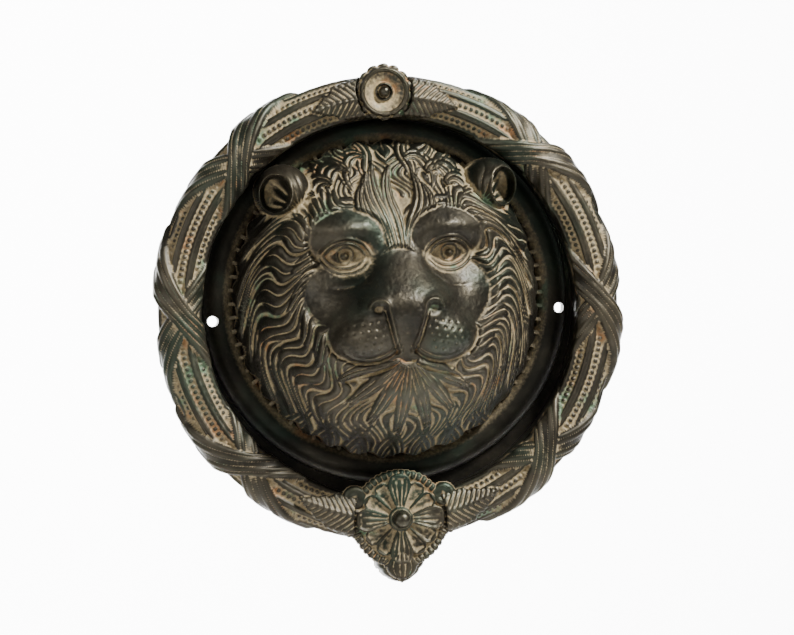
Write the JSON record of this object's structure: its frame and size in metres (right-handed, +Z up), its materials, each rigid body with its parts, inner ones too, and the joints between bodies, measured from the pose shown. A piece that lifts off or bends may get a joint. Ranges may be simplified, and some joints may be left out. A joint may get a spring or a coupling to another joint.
{
  "type": "door knocker",
  "caption": "Lion-mask door knocker: a deep mask on a round moulded backplate, with a hinged wreath ring that lifts and strikes a boss behind its flower.",
  "frame": {"origin": "centre of the backplate's rear face, which lies on the door", "axes": "+Y into the door, front faces -Y, +Z up, X along the hinge pin"},
  "size_m": [0.2004, 0.066, 0.2194],
  "materials": {
    "patinated_bronze": "satin, nearly black patina with tan dust in the recesses",
    "dusty_bronze": "matt tan patina",
    "green_bronze": "satin grey-green patina",
    "worn_bronze": "satin, rubbed dark bronze",
    "steel": "dull steel"
  },
  "bodies": {
    "door_plate": {"backplate": "patinated_bronze", "lion_mask": "patinated_bronze", "mask_screws": "steel", "strike_boss": "worn_bronze", "hinge_pin": "steel", "hinge_washers": "worn_bronze"},
    "ring": {"wreath_ring": "patinated_bronze", "top_rosette": "dusty_bronze", "rosette_rivet": "worn_bronze", "bottom_flower": "green_bronze", "flower_nut": "worn_bronze", "striker": "worn_bronze"}
  },
  "joints": [
    {"name": "ring_hinge", "type": "hinge", "parent": "door_plate", "child": "ring", "pos_m": [0, -0.005, 0.08685], "axis": [-1, 0, 0], "range_deg": [0, 60]}
  ]
}
